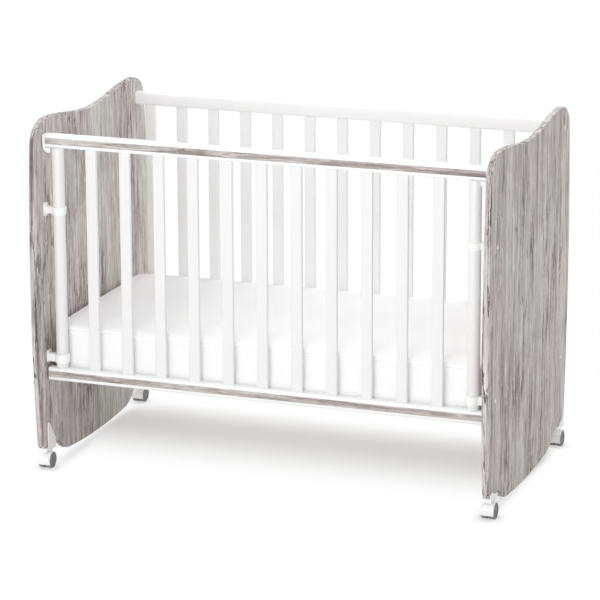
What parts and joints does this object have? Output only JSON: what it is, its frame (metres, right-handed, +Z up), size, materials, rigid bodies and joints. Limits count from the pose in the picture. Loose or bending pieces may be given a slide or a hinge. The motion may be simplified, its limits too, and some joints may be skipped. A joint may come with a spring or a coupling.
{
  "type": "crib",
  "caption": "Crib with wave-topped wood-print end panels on swivel castors, a fixed barred back, a barred front that slides down in guides, and a mattress on a slotted base.",
  "frame": {"origin": "centre of the bounding box on the floor, where the castors stand", "axes": "+X along the crib's length to the right-hand end panel, +Y from the sliding front to the fixed back, +Z up"},
  "size_m": [1.265, 0.756, 0.945],
  "materials": {
    "wood_print": "matt foil with a weathered grey-brown wood print",
    "white_lacquer": "satin white lacquer",
    "white_plastic": "smooth moulded white plastic",
    "grey_rubber": "matt grey tread",
    "mattress_cloth": "white woven cover",
    "base_board": "pale board"
  },
  "bodies": {
    "frame": {"end_panel_left": "wood_print", "end_panel_right": "wood_print", "back_top_rail": "white_lacquer", "back_bottom_rail": "white_lacquer", "back_slat_01": "white_lacquer", "back_slat_02": "white_lacquer", "back_slat_03": "white_lacquer", "back_slat_04": "white_lacquer", "back_slat_05": "white_lacquer", "back_slat_06": "white_lacquer", "back_slat_07": "white_lacquer", "back_slat_08": "white_lacquer", "back_slat_09": "white_lacquer", "back_slat_10": "white_lacquer", "back_slat_11": "white_lacquer", "back_slat_12": "white_lacquer", "back_slat_13": "white_lacquer", "upper_guide_left": "white_plastic", "upper_guide_right": "white_plastic", "lower_guide_left": "white_plastic", "lower_guide_right": "white_plastic", "castor_bracket_front_left": "white_plastic", "castor_bracket_front_right": "white_plastic", "castor_bracket_rear_left": "white_plastic", "castor_bracket_rear_right": "white_plastic", "mattress_base": "base_board", "base_cleat_left": "white_lacquer", "base_cleat_right": "white_lacquer"},
    "drop_side": {"drop_top_rail": "white_lacquer", "drop_bottom_rail": "white_lacquer", "drop_top_inlay": "wood_print", "drop_bottom_inlay": "wood_print", "drop_slat_01": "white_lacquer", "drop_slat_02": "white_lacquer", "drop_slat_03": "white_lacquer", "drop_slat_04": "white_lacquer", "drop_slat_05": "white_lacquer", "drop_slat_06": "white_lacquer", "drop_slat_07": "white_lacquer", "drop_slat_08": "white_lacquer", "drop_slat_09": "white_lacquer", "drop_slat_10": "white_lacquer", "drop_slat_11": "white_lacquer", "drop_end_bar_left": "white_lacquer", "drop_end_bar_right": "white_lacquer", "rail_cap_left": "white_plastic", "rail_cap_right": "white_plastic"},
    "mattress": {"mattress": "mattress_cloth"},
    "latch_left": {"latch_tongue_left": "white_plastic"},
    "latch_right": {"latch_tongue_right": "white_plastic"},
    "castor_front_left": {"castor_hood_front_left": "white_plastic"},
    "wheels_front_left": {"castor_wheels_front_left": "grey_rubber"},
    "castor_front_right": {"castor_hood_front_right": "white_plastic"},
    "wheels_front_right": {"castor_wheels_front_right": "grey_rubber"},
    "castor_rear_left": {"castor_hood_rear_left": "white_plastic"},
    "wheels_rear_left": {"castor_wheels_rear_left": "grey_rubber"},
    "castor_rear_right": {"castor_hood_rear_right": "white_plastic"},
    "wheels_rear_right": {"castor_wheels_rear_right": "grey_rubber"}
  },
  "joints": [
    {"name": "drop_side_slide", "type": "slide", "parent": "frame", "child": "drop_side", "axis": [0, 0, 1], "range_m": [-0.14, 0.01]},
    {"name": "mattress_lift", "type": "slide", "parent": "frame", "child": "mattress", "axis": [0, 0, 1], "range_m": [0, 0.7]},
    {"name": "latch_left_retract", "type": "slide", "parent": "frame", "child": "latch_left", "axis": [-1, 0, 0], "range_m": [0, 0.005], "stiffness_N_per_m": 200, "springref_m": -0.004},
    {"name": "latch_right_retract", "type": "slide", "parent": "frame", "child": "latch_right", "axis": [1, 0, 0], "range_m": [0, 0.005], "stiffness_N_per_m": 200, "springref_m": -0.004},
    {"name": "swivel_front_left", "type": "hinge", "parent": "frame", "child": "castor_front_left", "pos_m": [-0.614, -0.308, 0.0495], "axis": [0, 0, 1], "continuous": true},
    {"name": "roll_front_left", "type": "hinge", "parent": "castor_front_left", "child": "wheels_front_left", "pos_m": [-0.614, -0.318, 0.021], "axis": [1, 0, 0], "continuous": true},
    {"name": "swivel_front_right", "type": "hinge", "parent": "frame", "child": "castor_front_right", "pos_m": [0.614, -0.308, 0.0495], "axis": [0, 0, 1], "continuous": true},
    {"name": "roll_front_right", "type": "hinge", "parent": "castor_front_right", "child": "wheels_front_right", "pos_m": [0.614, -0.318, 0.021], "axis": [1, 0, 0], "continuous": true},
    {"name": "swivel_rear_left", "type": "hinge", "parent": "frame", "child": "castor_rear_left", "pos_m": [-0.614, 0.308, 0.0495], "axis": [0, 0, 1], "continuous": true},
    {"name": "roll_rear_left", "type": "hinge", "parent": "castor_rear_left", "child": "wheels_rear_left", "pos_m": [-0.614, 0.318, 0.021], "axis": [1, 0, 0], "continuous": true},
    {"name": "swivel_rear_right", "type": "hinge", "parent": "frame", "child": "castor_rear_right", "pos_m": [0.614, 0.308, 0.0495], "axis": [0, 0, 1], "continuous": true},
    {"name": "roll_rear_right", "type": "hinge", "parent": "castor_rear_right", "child": "wheels_rear_right", "pos_m": [0.614, 0.318, 0.021], "axis": [1, 0, 0], "continuous": true}
  ]
}
